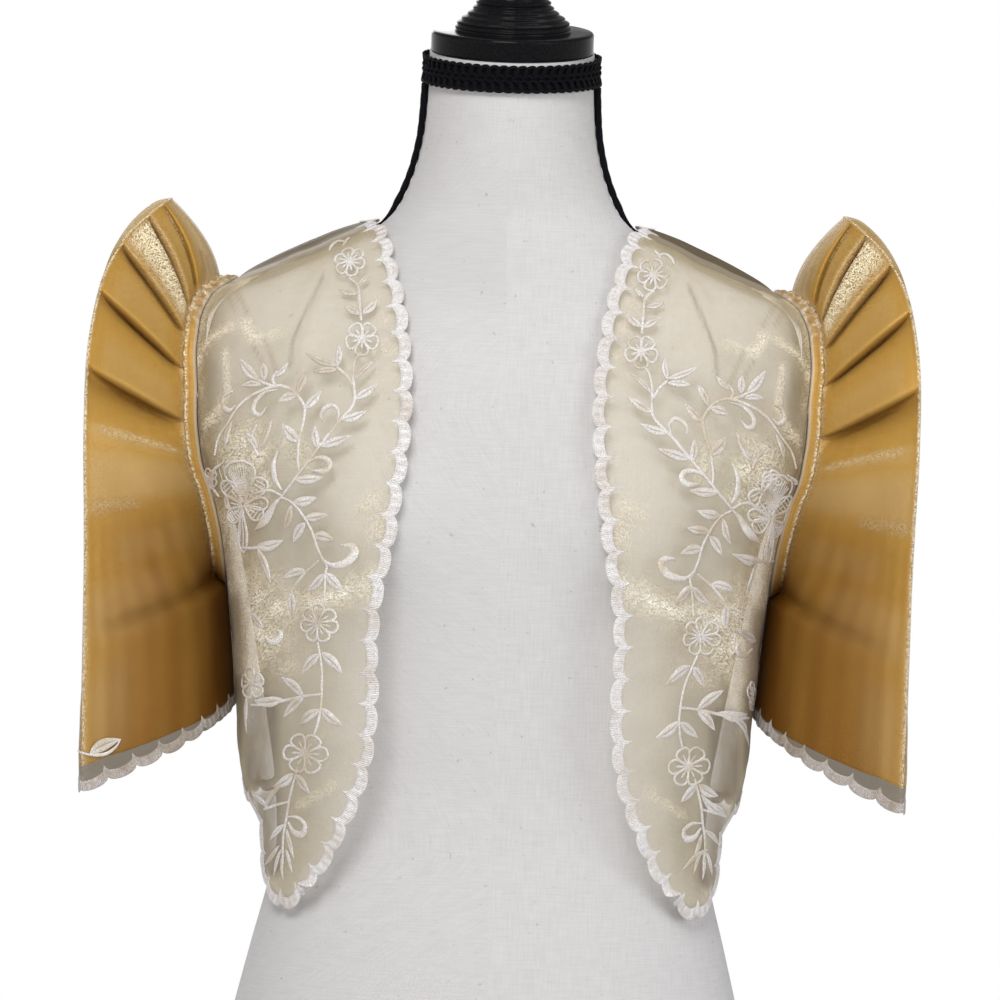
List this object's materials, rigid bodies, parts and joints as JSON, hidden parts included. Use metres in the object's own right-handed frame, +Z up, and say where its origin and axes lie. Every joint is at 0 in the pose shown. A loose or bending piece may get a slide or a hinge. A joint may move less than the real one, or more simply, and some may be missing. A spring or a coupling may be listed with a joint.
{
  "type": "bolero on dress form",
  "caption": "Sheer open-front bolero with rounded tails, scalloped thread edges and stiff pleated butterfly sleeves, worn by a limbless linen dress form.",
  "frame": {"origin": "middle of the dress form's flat foot, on the floor, under its neck", "axes": "+Z up, the front of the garment faces -Y, the wearer's left side is towards +X"},
  "size_m": [0.513, 0.246, 0.829],
  "materials": {
    "form_torso": "linen weave, matt",
    "form_neck_cap": "black gloss paint",
    "form_neck_braid": "black looped braid",
    "form_braid_left": "black braid",
    "form_braid_right": "black braid",
    "bodice_back": "sheer glittery organza",
    "bodice_front_left": "sheer glittery organza",
    "bodice_front_right": "sheer glittery organza",
    "front_border_left": "satin-stitch thread",
    "front_border_right": "satin-stitch thread",
    "neck_border": "satin-stitch thread",
    "back_border": "satin-stitch thread",
    "armhole_band_left": "gold organza over gold",
    "armhole_band_right": "gold organza over gold",
    "sleeve_gold_left": "opaque gold satin",
    "sleeve_gold_right": "opaque gold satin",
    "sleeve_sheer_left": "sheer gold organza",
    "sleeve_sheer_right": "sheer gold organza",
    "sleeve_border_left": "satin-stitch thread",
    "sleeve_border_right": "satin-stitch thread"
  },
  "bodies": {
    "root": {"form_torso": "form_torso", "form_neck_cap": "form_neck_cap", "form_neck_braid": "form_neck_braid", "form_braid_left": "form_braid_left", "form_braid_right": "form_braid_right", "bodice_back": "bodice_back", "bodice_front_left": "bodice_front_left", "bodice_front_right": "bodice_front_right", "front_border_left": "front_border_left", "front_border_right": "front_border_right", "neck_border": "neck_border", "back_border": "back_border", "armhole_band_left": "armhole_band_left", "armhole_band_right": "armhole_band_right", "sleeve_gold_left": "sleeve_gold_left", "sleeve_gold_right": "sleeve_gold_right", "sleeve_sheer_left": "sleeve_sheer_left", "sleeve_sheer_right": "sleeve_sheer_right", "sleeve_border_left": "sleeve_border_left", "sleeve_border_right": "sleeve_border_right"}
  },
  "joints": []
}
